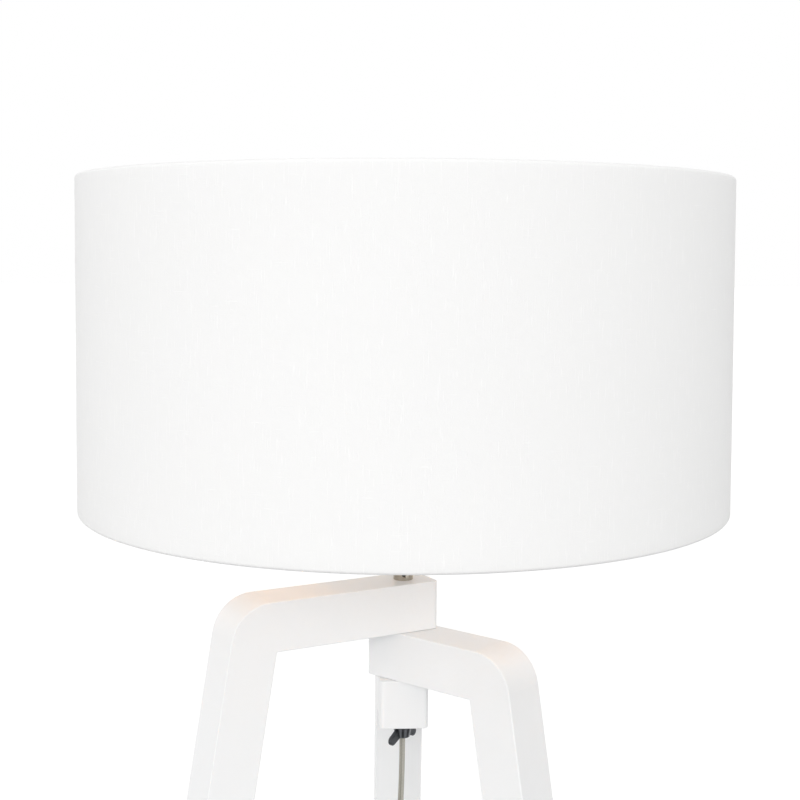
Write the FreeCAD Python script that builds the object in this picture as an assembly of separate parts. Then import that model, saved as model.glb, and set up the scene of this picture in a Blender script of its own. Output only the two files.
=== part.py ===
"""Tripod floor lamp, 1.45 m tall, in millimetres with +Z up.

Three L-shaped legs carry a drum shade. Their arms are stacked on one hollow threaded tube and clamped
from below by a wing nut. Each lower leg is shorter in reach, so that it folds inside the one above it.
Every piece is built about the lamp's upright axis, with the floor at z = 0. The finished lamp is then
moved sideways, so that the origin is the bottom centre of its box without the loose lead.
"""
import FreeCAD, Part
import math
import os

V = FreeCAD.Vector
UP = V(0, 0, 1)
os.makedirs("parts", exist_ok=True)

# ---------------------------------------------------------------- driving dimensions
overall_height = 1450.0      # floor to the shade's upper edge
shade_radius = 250.2         # at its lower edge
shade_taper = 3.0            # less at its upper edge
shade_height = 250.0
shade_lift = 62.0            # from the top arm up to the shade's lower edge

bar_width = 38.4             # the legs are square bars: across the arm
bar_depth = 38.4             # and along it, or its thickness
top_reach = 149.5            # lamp axis to the outer corner of the top leg
splay = math.radians(9.8)    # slope of the legs from upright
hub_overhang = 21.4          # arm end beyond the lamp axis
bend_radius = 32.0           # outer corner between arm and leg
inner_corner_radius = 1.0
end_corner_radius = 4.0      # upright edges of the arm's square end
edge_round = 0.8             # long edges of the bars
nest_clearance = 5.3         # between a folded leg and the leg outside it
leg_turn = {"left": 209.6, "right": -39.6, "rear": 93.2}   # degrees about the lamp axis
stack_order = ["left", "right", "rear"]                    # from the top arm down

glide_inset = 6.0            # the glide's rim in from the foot's edge
glide_height = 4.0
glide_chamfer = 0.8
glide_pin_radius = 1.8
glide_pin_length = 14.0

tube_radius = 5.0            # M10 x 1 hollow threaded tube
tube_wall = 1.0
stem_radius = 7.75
washer_rim = 7.5             # beyond the tube
washer_thickness = 2.0
nut_base_wall = 4.5          # the nut's walls round the tube: at its base,
nut_shoulder_wall = 2.6      # just past the base
nut_end_wall = 0.9           # and at its end
nut_base_thickness = 2.4
nut_height = 11.2
wing_reach = 8.9             # tube to the middle of a wing's tip
wing_tip_radius = 3.7
wing_drop = 11.2             # nut base to the middle of a wing's tip
wing_root_radius = 4.2
wing_thickness = 3.4
wing_round = 0.9
wing_turn = 55.0             # degrees about the lamp axis
tube_end_inset = 1.5         # the tube stops this far inside the nut's end
bush_flange_thickness = 1.2
bush_flange_inset = 0.3      # flange in from the tube's outside
bush_flange_round = 0.5
bush_length = 8.0

bulb_length = 105.0          # A60 bulb on an E27 screw cap
bulb_globe_radius = 30.0
bulb_wall = 0.9
bulb_cap_radius = 13.2
bulb_cap_height = 22.0
bulb_cap_wall = 0.4
bulb_neck_inset = 0.2        # glass in from the cap's outside
bulb_neck_height = 2.0
bulb_tip_radius = 4.6
bulb_tip_height = 1.6
bulb_tip_round = 1.2
bulb_insulator_height = 3.6
bulb_insulator_inset = 1.2
mount_flare_radius = 8.5
mount_flare_height = 8.0
mount_radius = 3.4
mount_tip_radius = 2.6
mount_drop = 12.0            # filament down to the end of the glass mount
filament_height = 62.0       # above the bulb's tip
filament_spread = 11.0
filament_rise = 4.0          # straight stretch of a filament leg above the mount
filament_leg_offset = 1.6
filament_hook = 3.0
filament_bend = 1.0
filament_wire_radius = 0.45
filament_coil_radius = 0.9
filament_coil_inset = 2.0    # coil's end in from the filament's corner

core_wall = 2.5              # lampholder: ceramic round the screw shell
core_height = 12.0
core_recess_depth = 8.0
core_sink = 4.0              # core's underside below the cup's rim
shell_wall = 0.6
shell_height = 25.0
holder_wall = 2.0
holder_floor = 3.0
cap_height = 22.0
cap_round = 4.0
skirt_wall = 3.0
skirt_height = 28.0
skirt_chamfer = 0.8
shade_seat = 32.0            # holder base to the shade fitter's underside
locknut_rim = 2.0            # across the flats, beyond the tube
locknut_thickness = 3.0
tube_above_nut = 1.0
grip_size = (10.0, 17.0, 5.0)
grip_round = 1.0
grip_screw_radius = 1.6
grip_screw_height = 1.2
grip_screw_inset = 3.2
strip_thickness = 0.6
strip_width = 6.0
strip_foot = 9.0
strip_tongue = 6.0
strip_height = 1.7
terminal_inset = 6.3         # terminal screws in from the core's rim
terminal_radius = 1.5
terminal_head_radius = 2.8
terminal_head_height = 2.4
terminal_depth = 2.5
ring_nut_rim = 8.9           # shade ring, beyond the skirt
ring_nut_height = 8.0
ring_nut_round = 1.2
ring_grip_count = 24
ring_grip_radius = 0.9
ring_grip_offset = 0.3       # groove's middle outside the rim

spider_recess = 22.0         # shade's lower edge up to the fitter's underside
fitter_rim = 3.0             # fitter beyond the shade rings
fitter_bore_gap = 1.0
fitter_thickness = 2.0
spoke_radius = 2.0
spoke_bend_radius = 8.0
spoke_bend_from_ring = 21.0
spoke_count = 3
spoke_turn = 30.0            # degrees about the lamp axis
ring_wire_radius = 2.0
fabric_thickness = 0.6
liner_thickness = 0.5
hem_height = 12.0
spoke_slit = 0.3             # cloth cut clear of a spoke

cord_width = 5.2             # flat twin lead
core_radius = 1.0
coil_diameters = 11          # across the middle of the coil's turns
coil_layers = 3
coil_round = 1.5
tie_width = 8.0
tie_thickness = 0.9
tie_round = 1.2
tie_slack = 0.5              # inside the coil, whose wall is curved

switch_size = (74.0, 36.0, 22.0)
switch_wall = 2.2
switch_base_height = 6.0
switch_corner = 12.0
switch_round = 4.0
switch_chamfer = 1.0
switch_button_radius = 11.0
switch_button_height = 11.0
switch_button_proud = 4.5
switch_button_round = 2.0
switch_flange_rim = 1.6
switch_flange_thickness = 1.4
spring_radius = 3.8
spring_wire = 0.9
spring_post_radius = 2.2
spring_post_height = 5.3
contact_size = (22.0, 4.0, 0.8)
contact_post = (5.0, 4.0, 4.6)
contact_middle = 14.0
contact_post_middle = 23.0
contact_offset = 8.0
contact_screw_radius = 1.6
contact_screw_height = 1.4
housing_screw_radius = 1.5
housing_screw_depth = 6.0
housing_head_rim = 1.2
housing_head_height = 1.1
housing_head_inset = 0.3
housing_screw_place = (9.5, 7.0)   # in from the switch's end and side
boss_wall = 1.7
sleeve_length = 24.0
sleeve_big_radius = 5.4
sleeve_small_radius = 3.7
sleeve_groove_count = 4
sleeve_groove_width = 1.2
sleeve_groove_depth = 0.6

plug_width = 35.3            # flat two-pin plug
plug_thickness = 13.7
plug_length = 36.0
plug_shoulder = 12.0
plug_corner = 3.0
plug_shoulder_round = 8.0
plug_edge_round = 2.5
plug_back_rim = 2.0          # body beyond the sleeve where they meet
pin_radius = 2.0
pin_length = 19.0
pin_root = 8.0               # length inside the body
pin_root_radius = 1.4
pin_tip_round = 1.6
pin_spacing = 18.6
pin_sleeve_length = 10.0
pin_sleeve_wall = 0.35

# ---------------------------------------------------------------- fits
stack_gap = 0.1              # between the clamped faces of parts that can move
running_gap = 0.1            # radial, shaft in hole
seat_gap = 0.1               # radial, between fixed round pieces
core_gap = 0.2               # radial, ceramic core in the cup and skirt
stem_gap = 0.2               # radial, stem round the tube
grip_gap = 0.05              # radial, lead in its clamp
thread_gap = 0.4             # radial, bulb cap in its shell
button_gap = 0.4             # radial, foot button in its hole
glue_gap = 0.25              # between the shade's bonded layers and its rings
floor_gap = 0.1              # lead and coil above what they lie on
past = 1.0                   # how far a cutting tool runs past what it cuts

# ---------------------------------------------------------------- sizes that follow
tube_bore_radius = tube_radius - tube_wall
shell_radius = bulb_cap_radius + thread_gap + shell_wall
core_rim = shell_radius + seat_gap + core_wall
holder_bore = core_rim + core_gap
cap_radius = holder_bore + holder_wall
skirt_radius = holder_bore + skirt_wall
ring_nut_radius = skirt_radius + running_gap + ring_nut_rim
fitter_radius = ring_nut_radius + fitter_rim
terminal_offset = core_rim - terminal_inset
ring_inset = fabric_thickness + liner_thickness + 2 * glue_gap + ring_wire_radius
ring_level = fabric_thickness + glue_gap + ring_wire_radius
hem_inset = ring_inset + ring_wire_radius + glue_gap + fabric_thickness

# ---------------------------------------------------------------- levels
arm_top = overall_height - shade_height - shade_lift
shade_bottom = overall_height - shade_height
stack_bottom = arm_top - len(stack_order) * bar_depth - (len(stack_order) - 1) * stack_gap
washer_top = stack_bottom - stack_gap
nut_top = washer_top - washer_thickness
nut_end = nut_top - nut_height
tube_end = nut_end + tube_end_inset
cord_exit = tube_end - bush_flange_thickness
fitter_bottom = shade_bottom + spider_recess
holder_base = fitter_bottom - shade_seat
locknut_low = holder_base + holder_floor
tube_top = locknut_low + locknut_thickness + tube_above_nut
grip_bottom = tube_top + seat_gap
cord_top = grip_bottom + grip_size[2]
skirt_bottom = holder_base + cap_height
core_bottom = skirt_bottom - core_sink
core_recess = core_bottom + core_height - core_recess_depth
bulb_tip = core_recess + strip_height + stack_gap
insulator_low = bulb_tip + bulb_tip_height
bulb_cap_low = insulator_low + bulb_insulator_height
bulb_cap_high = bulb_cap_low + bulb_cap_height


# ---------------------------------------------------------------- shape helpers
def cylinder(radius, low, high, x=0.0, y=0.0):
    """Upright round bar between two heights."""
    return Part.makeCylinder(radius, high - low, V(x, y, low), UP)


def pipe(radius, bore_radius, low, high, x=0.0, y=0.0):
    """Upright round bar with a bore right through it."""
    return cylinder(radius, low, high, x, y).cut(cylinder(bore_radius, low - past, high + past, x, y))


def block(size, centre, low):
    """Upright box centred over a point, standing on a height."""
    corner = V(centre[0] - size[0] / 2, centre[1] - size[1] / 2, low)
    return Part.makeBox(size[0], size[1], size[2], corner)


def corner_arc(before, corner, after, radius):
    """Start, middle and end of the arc that rounds one corner of a route."""
    back = (before - corner).normalize()
    ahead = (after - corner).normalize()
    half = back.getAngle(ahead) / 2
    inward = (back + ahead).normalize()
    middle = corner + inward * (radius / math.sin(half) - radius)
    cut = radius / math.tan(half)
    return corner + back * cut, middle, corner + ahead * cut


def rounded_wire(points, radii, closed):
    """Straight runs through the points, with an arc at each corner that has a radius."""
    edges = []
    count = len(points)
    corners = range(count) if closed else range(1, count - 1)
    arcs = {}
    for i in corners:
        if radii[i] > 0:
            arcs[i] = corner_arc(points[i - 1], points[i], points[(i + 1) % count], radii[i])
    for i in range(count if closed else count - 1):
        after = (i + 1) % count
        start = arcs[i][2] if i in arcs else points[i]
        end = arcs[after][0] if after in arcs else points[after]
        edges.append(Part.LineSegment(start, end).toShape())
        if after in arcs:
            edges.append(Part.Arc(*arcs[after]).toShape())
    return Part.Wire(edges)


def turned(profile, radii=None):
    """Solid of revolution about the lamp axis, from (radius, height) corners."""
    points = [V(r, 0, z) for r, z in profile]
    wire = rounded_wire(points, radii or [0] * len(points), True)
    return Part.Face(wire).revolve(V(0, 0, 0), UP, 360)


near = 0.01                  # two levels closer than this are the same


def edges_at(shape, level):
    """Edges that lie in one level plane."""
    return [edge for edge in shape.Edges
            if abs(edge.BoundBox.ZMin - level) < near and abs(edge.BoundBox.ZMax - level) < near]


def upright_edges(shape):
    """Straight edges along Z."""
    return [edge for edge in shape.Edges if abs(edge.tangentAt(edge.FirstParameter).z) > 0.9]


def sharp_edges(shape, keep):
    """Edges that pass the keep test and whose two faces meet at an angle."""
    found = []
    for edge in shape.Edges:
        middle = edge.valueAt((edge.FirstParameter + edge.LastParameter) / 2)
        faces = shape.ancestorsOfType(edge, Part.Face)
        if len(faces) != 2 or not keep(edge, middle):
            continue
        normals = [face.normalAt(*face.Surface.parameter(middle)) for face in faces]
        if normals[0].getAngle(normals[1]) > 0.2:
            found.append(edge)
    return found


def about_axis(shape, degrees):
    """The shape turned about the lamp axis."""
    moved = shape.copy()
    moved.rotate(V(0, 0, 0), UP, degrees)
    return moved


def laid(shape, x, y, degrees):
    """A piece built along +X at the origin, turned and laid at its place on the floor."""
    moved = about_axis(shape, degrees)
    moved.translate(V(x, y, 0))
    return moved


# ---------------------------------------------------------------- legs
def leg_level(name):
    """Height of the leg's arm top."""
    return arm_top - stack_order.index(name) * (bar_depth + stack_gap)


def leg_reach(name):
    """Lamp axis to the outer corner of the leg, at its arm top."""
    step = bar_depth + nest_clearance - (bar_depth + stack_gap) * math.tan(splay)
    return top_reach - stack_order.index(name) * step


def foot_middle(name):
    """Distance of the foot's middle from the lamp axis."""
    return leg_reach(name) + (leg_level(name) - glide_height) * math.tan(splay) - bar_depth / 2


def leg(name):
    """One L-shaped bar: a level arm with a square end, and a sloping leg cut flat for the floor."""
    top = leg_level(name)
    reach = leg_reach(name)
    outer_foot = foot_middle(name) + bar_depth / 2
    inner_foot = foot_middle(name) - bar_depth / 2
    inner_corner = reach + bar_depth * math.tan(splay) - bar_depth
    outline = [V(-hub_overhang, 0, top), V(reach, 0, top), V(outer_foot, 0, glide_height),
               V(inner_foot, 0, glide_height), V(inner_corner, 0, top - bar_depth),
               V(-hub_overhang, 0, top - bar_depth)]
    radii = [0, bend_radius, 0, 0, inner_corner_radius, 0]
    side = Part.Face(rounded_wire(outline, radii, True))
    bar = side.extrude(V(0, bar_width, 0))
    bar.translate(V(0, -bar_width / 2, 0))

    def at_arm_end(edge, middle):
        return abs(middle.x + hub_overhang) < near and abs(abs(middle.y) - bar_width / 2) < near

    def above_foot(edge, middle):
        return middle.z > glide_height + near

    bar = bar.makeFillet(end_corner_radius, sharp_edges(bar, at_arm_end))
    bar = bar.makeFillet(edge_round, sharp_edges(bar, above_foot))
    bar = bar.cut(cylinder(tube_radius + running_gap, top - bar_depth - past, top + past))
    pin_top = glide_height + glide_pin_length + seat_gap
    bar = bar.cut(cylinder(glide_pin_radius + seat_gap, 0, pin_top, foot_middle(name)))
    return about_axis(bar, leg_turn[name])


def glide(name):
    """Round foot with a pin that is driven up into the leg."""
    foot = cylinder(bar_depth / 2 - glide_inset, 0, glide_height, foot_middle(name))
    foot = foot.makeChamfer(glide_chamfer, edges_at(foot, 0))
    pin = cylinder(glide_pin_radius, glide_height, glide_height + glide_pin_length, foot_middle(name))
    return about_axis(foot.fuse(pin).removeSplitter(), leg_turn[name])


# ---------------------------------------------------------------- hub
def wing_nut():
    """Turned nut with two flat ears that slope away from the clamped face."""
    bore = tube_radius + running_gap
    shoulder = nut_top - nut_base_thickness
    body = turned([(bore, nut_top), (tube_radius + nut_base_wall, nut_top),
                   (tube_radius + nut_base_wall, shoulder), (tube_radius + nut_shoulder_wall, shoulder),
                   (tube_radius + nut_end_wall, nut_end), (bore, nut_end)])
    root = V(wing_root_radius, 0, shoulder - wing_root_radius)
    tip = V(tube_radius + wing_reach, 0, nut_top - wing_drop)
    lean = (tip - root).normalize()
    side = V(-lean.z, 0, lean.x)
    slab = Part.makePolygon([root + side * wing_root_radius, tip + side * wing_tip_radius,
                             tip - side * wing_tip_radius, root - side * wing_root_radius,
                             root + side * wing_root_radius])
    half = V(0, wing_thickness / 2, 0)
    ear = Part.Face(slab).extrude(half * 2)
    ear.translate(half * -1)
    for centre, radius in ((root, wing_root_radius), (tip, wing_tip_radius)):
        ear = ear.fuse(Part.makeCylinder(radius, wing_thickness, centre - half, V(0, 1, 0)))
    ear = ear.removeSplitter()
    rims = [edge for edge in ear.Edges if abs(abs(edge.CenterOfMass.y) - half.y) < near]
    ear = ear.makeFillet(wing_round, rims)
    nut = body.fuse([ear, about_axis(ear, 180)])
    return about_axis(nut.cut(cylinder(bore, nut_end - wing_drop, nut_top + past)), wing_turn)


def tube_bush():
    """Plastic mouth in the tube's lower end, where the lead comes out."""
    body = cylinder(tube_bore_radius - seat_gap, tube_end, tube_end + bush_length)
    flange = cylinder(tube_radius - bush_flange_inset, cord_exit, tube_end)
    flange = flange.makeFillet(bush_flange_round, edges_at(flange, cord_exit))
    hole = cylinder(cord_width / 2 + seat_gap, cord_exit - past, tube_end + bush_length + past)
    return body.fuse(flange).cut(hole)


# ---------------------------------------------------------------- lampholder
def holder_cap():
    """Lower cup of the lampholder, held on the tube by a lock nut."""
    cup = cylinder(cap_radius, holder_base, skirt_bottom)
    cup = cup.makeFillet(cap_round, edges_at(cup, holder_base))
    cup = cup.cut(cylinder(holder_bore, locknut_low, skirt_bottom + past))
    return cup.cut(cylinder(tube_radius + seat_gap, holder_base - past, skirt_bottom))


def tube_locknut():
    """Thin hexagonal nut on the tube, inside the lampholder's cup."""
    corner = 2 * (tube_radius + locknut_rim) / math.sqrt(3)
    turns = [math.radians(60 * k) for k in range(7)]
    outline = Part.makePolygon([V(corner * math.cos(turn), corner * math.sin(turn), 0) for turn in turns])
    hexagon = Part.Face(outline).extrude(UP * locknut_thickness)
    hexagon.translate(V(0, 0, locknut_low))
    return hexagon.cut(cylinder(tube_radius + seat_gap, holder_base, tube_top + past))


def cord_grip():
    """Clamp block that takes the lead's pull inside the lampholder."""
    grip = block(grip_size, (0, 0), grip_bottom)
    grip = grip.makeFillet(grip_round, upright_edges(grip))
    return grip.cut(cylinder(cord_width / 2 + grip_gap, grip_bottom - past, cord_top + past))


def grip_screws():
    """Two screws that close the clamp block, one each side of the lead."""
    across = grip_size[1] / 2 - grip_screw_inset
    return [cylinder(grip_screw_radius, cord_top, cord_top + grip_screw_height, 0, side * across)
            for side in (-1, 1)]


def core_wires():
    """The lead's two cores, from its cut end out to the terminals and straight into them."""
    wires = []
    straight = 2 * core_radius
    head_low = core_bottom - stack_gap - terminal_head_height
    for side in (-1, 1):
        near_x = side * cord_width / 4
        far_x = side * terminal_offset
        route = [V(near_x, 0, cord_top), V(near_x, 0, cord_top + straight),
                 V(far_x, 0, head_low - straight - stack_gap), V(far_x, 0, head_low - stack_gap)]
        path = rounded_wire(route, [0, 1.4 * core_radius, 1.2 * core_radius, 0], False)
        section = Part.Wire(Part.makeCircle(core_radius, route[0], UP))
        wires.append(path.makePipeShell([section], True, True))
    return wires


def terminal_screws():
    """Two screws under the core, which hold the wires."""
    screws = []
    for side in (-1, 1):
        x = side * terminal_offset
        under = core_bottom - stack_gap
        head = cylinder(terminal_head_radius, under - terminal_head_height, under, x)
        shank = cylinder(terminal_radius, under, core_bottom + terminal_depth, x)
        screws.append(head.fuse(shank).removeSplitter())
    return screws


def holder_core():
    """Ceramic core: a disc with a recess for the screw shell and two threaded terminal holes."""
    core = cylinder(core_rim, core_bottom, core_bottom + core_height)
    core = core.cut(cylinder(shell_radius + seat_gap, core_recess, core_bottom + core_height + past))
    hole_top = core_bottom + terminal_depth + stack_gap
    for side in (-1, 1):
        hole = cylinder(terminal_radius + seat_gap, core_bottom - past, hole_top, side * terminal_offset)
        core = core.cut(hole)
    return core


def centre_contact():
    """Sprung strip that meets the bulb's tip: a foot on the core, a riser and a raised tongue."""
    bend = -strip_tongue / 2
    foot = block((strip_foot, strip_width, strip_thickness), (bend - strip_foot / 2, 0), core_recess)
    riser = block((strip_thickness, strip_width, strip_height), (bend, 0), core_recess)
    raised = core_recess + strip_height - strip_thickness
    tongue = block((strip_tongue, strip_width, strip_thickness), (bend + strip_tongue / 2, 0), raised)
    return foot.fuse([riser, tongue]).removeSplitter()


def holder_skirt():
    """Threaded sleeve above the cup, which the two shade rings run on."""
    top = skirt_bottom + skirt_height
    sleeve = pipe(skirt_radius, holder_bore, skirt_bottom, top)
    return sleeve.makeChamfer(skirt_chamfer, edges_at(sleeve, top))


def ring_nut(low):
    """Shade ring: threaded on the skirt, with finger grooves round its rim."""
    high = low + ring_nut_height
    ring = cylinder(ring_nut_radius, low, high)
    ring = ring.makeFillet(ring_nut_round, edges_at(ring, low) + edges_at(ring, high))
    ring = ring.cut(cylinder(skirt_radius + running_gap, low - past, high + past))
    grooves = []
    for k in range(ring_grip_count):
        turn = 2 * math.pi * k / ring_grip_count
        x = (ring_nut_radius + ring_grip_offset) * math.cos(turn)
        y = (ring_nut_radius + ring_grip_offset) * math.sin(turn)
        grooves.append(cylinder(ring_grip_radius, low - past, high + past, x, y))
    return ring.cut(grooves)


# ---------------------------------------------------------------- bulb
def bulb_envelope(inset):
    """Solid of a bulb's outside, drawn in by an inset: neck, tangent cone and round globe."""
    globe_radius = bulb_globe_radius - inset
    neck_radius = bulb_cap_radius - bulb_neck_inset - inset
    low = bulb_cap_high + inset
    globe = V(0, 0, bulb_tip + bulb_length - bulb_globe_radius)
    neck = V(neck_radius, 0, bulb_cap_high + bulb_neck_height)
    away = neck - globe
    turn = math.atan2(away.z, away.x) + math.acos(globe_radius / away.Length)
    touch = globe + V(math.cos(turn), 0, math.sin(turn)) * globe_radius
    side = globe + V(globe_radius, 0, 0)
    top = globe + V(0, 0, globe_radius)
    edges = [Part.LineSegment(V(0, 0, low), V(neck_radius, 0, low)),
             Part.LineSegment(V(neck_radius, 0, low), neck),
             Part.LineSegment(neck, touch),
             Part.Arc(touch, side, top),
             Part.LineSegment(top, V(0, 0, low))]
    return Part.Face(Part.Wire([edge.toShape() for edge in edges])).revolve(V(0, 0, 0), UP, 360)


def glass_mount():
    """Flared glass rod inside the bulb, which carries the filament's legs."""
    low = bulb_cap_high + bulb_wall
    high = bulb_tip + filament_height - mount_drop
    return turned([(0, low), (mount_flare_radius, low), (mount_radius, low + mount_flare_height),
                   (mount_tip_radius, high), (0, high)])


def filament():
    """Wire from the mount, out and along the top and back, with the coiled stretch thicker."""
    mount_high = bulb_tip + filament_height - mount_drop
    level = bulb_tip + filament_height
    half = [V(filament_leg_offset, 0, mount_high), V(filament_leg_offset, 0, mount_high + filament_rise),
            V(filament_spread, 0, level - filament_hook), V(filament_spread, 0, level)]
    route = [V(-point.x, 0, point.z) for point in half] + half[::-1]
    path = rounded_wire(route, [0] + [filament_bend] * (len(route) - 2) + [0], False)
    section = Part.Wire(Part.makeCircle(filament_wire_radius, route[0], UP))
    reach = filament_spread - filament_coil_inset
    coil = Part.makeCylinder(filament_coil_radius, 2 * reach, V(-reach, 0, level), V(1, 0, 0))
    return path.makePipeShell([section], True, True).fuse(coil)


def bulb_screw_cap():
    """Thin metal cup with a hole in its floor for the insulator."""
    wall = bulb_cap_wall
    hole = bulb_tip_radius + past
    return turned([(hole, bulb_cap_low), (bulb_cap_radius, bulb_cap_low), (bulb_cap_radius, bulb_cap_high),
                   (bulb_cap_radius - wall, bulb_cap_high), (bulb_cap_radius - wall, bulb_cap_low + wall),
                   (hole, bulb_cap_low + wall)])


def bulb_insulator():
    """Black glass cone between the tip and the screw cap."""
    return turned([(0, insulator_low), (bulb_tip_radius + bulb_wall, insulator_low),
                   (bulb_cap_radius - bulb_insulator_inset, bulb_cap_low), (0, bulb_cap_low)])


def bulb_tip_contact():
    """Rounded button at the bulb's lower end."""
    tip = cylinder(bulb_tip_radius, bulb_tip, insulator_low)
    return tip.makeFillet(bulb_tip_round, edges_at(tip, bulb_tip))


# ---------------------------------------------------------------- shade
def shade_side(level):
    """Outer radius of the shade at a level: it is a little narrower towards the top."""
    return shade_radius - shade_taper * (level - shade_bottom) / shade_height


def wire_ring(level):
    """Round steel ring that holds the shade's edge in shape."""
    return Part.makeTorus(shade_side(level) - ring_inset, ring_wire_radius, V(0, 0, level), UP)


def spoke(radius):
    """Bent wire from the fitter out and down to the lower ring."""
    level = fitter_bottom + fitter_thickness / 2
    end = shade_bottom + ring_level
    reach = shade_side(end) - ring_inset
    inner = V(ring_nut_radius + fitter_rim / 5, 0, level)
    route = [inner, V(reach - spoke_bend_from_ring, 0, level), V(reach, 0, end)]
    path = rounded_wire(route, [0, spoke_bend_radius, 0], False)
    section = Part.Wire(Part.makeCircle(radius, route[0], V(1, 0, 0)))
    return path.makePipeShell([section], True, True)


def all_spokes(radius):
    """The spokes at their places round the fitter."""
    return [about_axis(spoke(radius), spoke_turn + 360 * k / spoke_count) for k in range(spoke_count)]


def shade_lower_frame():
    """Lower ring, spokes and fitter, welded into one piece."""
    bore = skirt_radius + fitter_bore_gap
    fitter = pipe(fitter_radius, bore, fitter_bottom, fitter_bottom + fitter_thickness)
    frame = wire_ring(shade_bottom + ring_level).fuse(all_spokes(spoke_radius))
    return frame.fuse(fitter).removeSplitter()


def shade_fabric():
    """Outer cloth, rolled round both rings and turned in behind them, slit where the spokes pass."""
    low = shade_bottom
    high = overall_height
    t = fabric_thickness
    r_low = shade_side(low)
    r_high = shade_side(high)
    in_low = r_low - hem_inset
    in_high = r_high - hem_inset
    outline = [(in_low, low + hem_height), (in_low, low), (r_low, low), (r_high, high), (in_high, high),
               (in_high, high - hem_height), (in_high + t, high - hem_height), (in_high + t, high - t),
               (r_high - t, high - t), (r_low - t, low + t), (in_low + t, low + t),
               (in_low + t, low + hem_height)]
    big = ring_wire_radius + t
    small = ring_wire_radius
    cloth = turned(outline, [0, big, big, big, big, 0, 0, small, small, small, small, 0])
    return cloth.cut(all_spokes(spoke_radius + spoke_slit))


def shade_liner():
    """Stiff sheet that the cloth is bonded to."""
    trim = fabric_thickness + ring_wire_radius
    low = shade_bottom + trim
    high = overall_height - trim
    outer_low = shade_side(low) - fabric_thickness - glue_gap
    outer_high = shade_side(high) - fabric_thickness - glue_gap
    return turned([(outer_low - liner_thickness, low), (outer_low, low), (outer_high, high),
                   (outer_high - liner_thickness, high)])


# ---------------------------------------------------------------- loose lead
def cord_tube(name, route):
    """Lead along a route: straight runs joined by arcs as large as the runs allow."""
    points = [V(*place) for place in route]
    radii = [0.0]
    for i in range(1, len(points) - 1):
        back = points[i - 1] - points[i]
        ahead = points[i + 1] - points[i]
        turn = math.pi - back.getAngle(ahead)
        radii.append(0.45 * min(back.Length, ahead.Length) / math.tan(turn / 2))
    radii.append(0.0)
    path = rounded_wire(points, radii, False)
    start = Part.Wire(Part.makeCircle(cord_width / 2, points[0], points[1] - points[0]))
    solid = path.makePipeShell([start], True, True)
    swept = math.pi * (cord_width / 2) ** 2 * path.Length
    print(name, "length", round(path.Length, 1), "volume ratio", round(solid.Volume / swept, 5),
          "radii", [round(radius) for radius in radii[1:-1]])
    return solid


coil_place = (75.0, 70.0)
coil_column = coil_diameters * cord_width / 2     # mean radius of the turns
coil_inner = coil_column - cord_width
coil_outer = coil_column + cord_width
coil_low = tie_thickness + floor_gap
coil_high = coil_low + coil_layers * cord_width
coil_first = coil_low + cord_width / 2            # lowest turn's middle
coil_last = coil_high - cord_width / 2            # highest turn's middle
outer_turn = coil_column + cord_width / 2
tie_turn = 160.0

cord_floor = cord_width / 2 + floor_gap           # the lead's middle where it lies on the floor
switch_place = (-6.0, 168.5)
switch_end = switch_size[0] / 2 + sleeve_length
switch_cord_level = switch_base_height + 3.0
plug_place = (18.0, -52.0)                        # middle of the plug's body
plug_cord_level = plug_thickness / 2
plug_cord_end = plug_length / 2 + sleeve_length

hanging_route = [
    (0.0, 0.0, cord_exit), (0.0, 0.0, cord_exit - 34), (-3.1, 0.5, cord_exit - 92),
    (-8.0, 1.5, cord_exit - 160), (-13.2, 3.2, cord_exit - 234), (-17.9, 5.5, cord_exit - 308),
    (-21.8, 8.4, cord_exit - 382), (-25.0, 12.0, cord_exit - 456), (-27.7, 16.2, cord_exit - 530),
    (-30.1, 21.0, cord_exit - 604), (-32.6, 26.5, cord_exit - 678), (-35.9, 32.8, cord_exit - 750),
    (-40.8, 40.2, cord_exit - 820), (-48.4, 49.4, cord_exit - 884), (-60.6, 60.2, cord_exit - 938),
    (-77.0, 74.0, 20.5), (-94.5, 87.5, 5.2), (-109.0, 97.0, cord_floor), (-117.5, 109.0, cord_floor),
    (-121.3, 123.4, cord_floor), (-119.8, 138.2, 2.9), (-113.2, 151.8, 4.2), (-101.2, 162.8, 6.6),
    (-85.4, 168.5, switch_cord_level), (switch_place[0] - switch_end, switch_place[1], switch_cord_level)]
floor_route = [
    (switch_place[0] + switch_end, switch_place[1], switch_cord_level), (71.0, 168.5, switch_cord_level),
    (86.5, 162.0, 5.4), (98.5, 149.0, cord_floor), (105.5, 132.5, cord_floor), (108.0, 113.0, 2.8),
    (coil_place[0] + outer_turn + 1.2, 91.0, 3.2), (coil_place[0] + outer_turn, coil_place[1], coil_first)]
tail_route = [
    (coil_place[0], coil_place[1] - outer_turn, coil_last), (56.0, coil_place[1] - outer_turn - 0.4, 12.6),
    (38.0, 34.0, 9.4), (25.0, 22.5, 7.2), (plug_place[0], 7.0, plug_cord_level),
    (plug_place[0], plug_place[1] + plug_cord_end, plug_cord_level)]


def cord_coil():
    """Outer shape of the coiled length: a ring of turns, two side by side in each layer."""
    ring = pipe(coil_outer, coil_inner, coil_low, coil_high, *coil_place)
    return ring.makeFillet(coil_round, edges_at(ring, coil_low) + edges_at(ring, coil_high))


def coil_tie():
    """Strap round the coil's turns."""
    low_x = coil_inner - tie_slack
    high_x = coil_outer + floor_gap
    inner_size = (high_x - low_x, tie_width + 2 * past, coil_high + floor_gap - tie_thickness)
    outer_size = (inner_size[0] + 2 * tie_thickness, tie_width, inner_size[2] + 2 * tie_thickness)
    middle = ((low_x + high_x) / 2, 0)
    strap = block(outer_size, middle, 0)
    along = [edge for edge in strap.Edges if abs(edge.tangentAt(edge.FirstParameter).y) > 0.9]
    strap = strap.makeFillet(tie_round, along)
    return laid(strap.cut(block(inner_size, middle, tie_thickness)), *coil_place, tie_turn)


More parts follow.
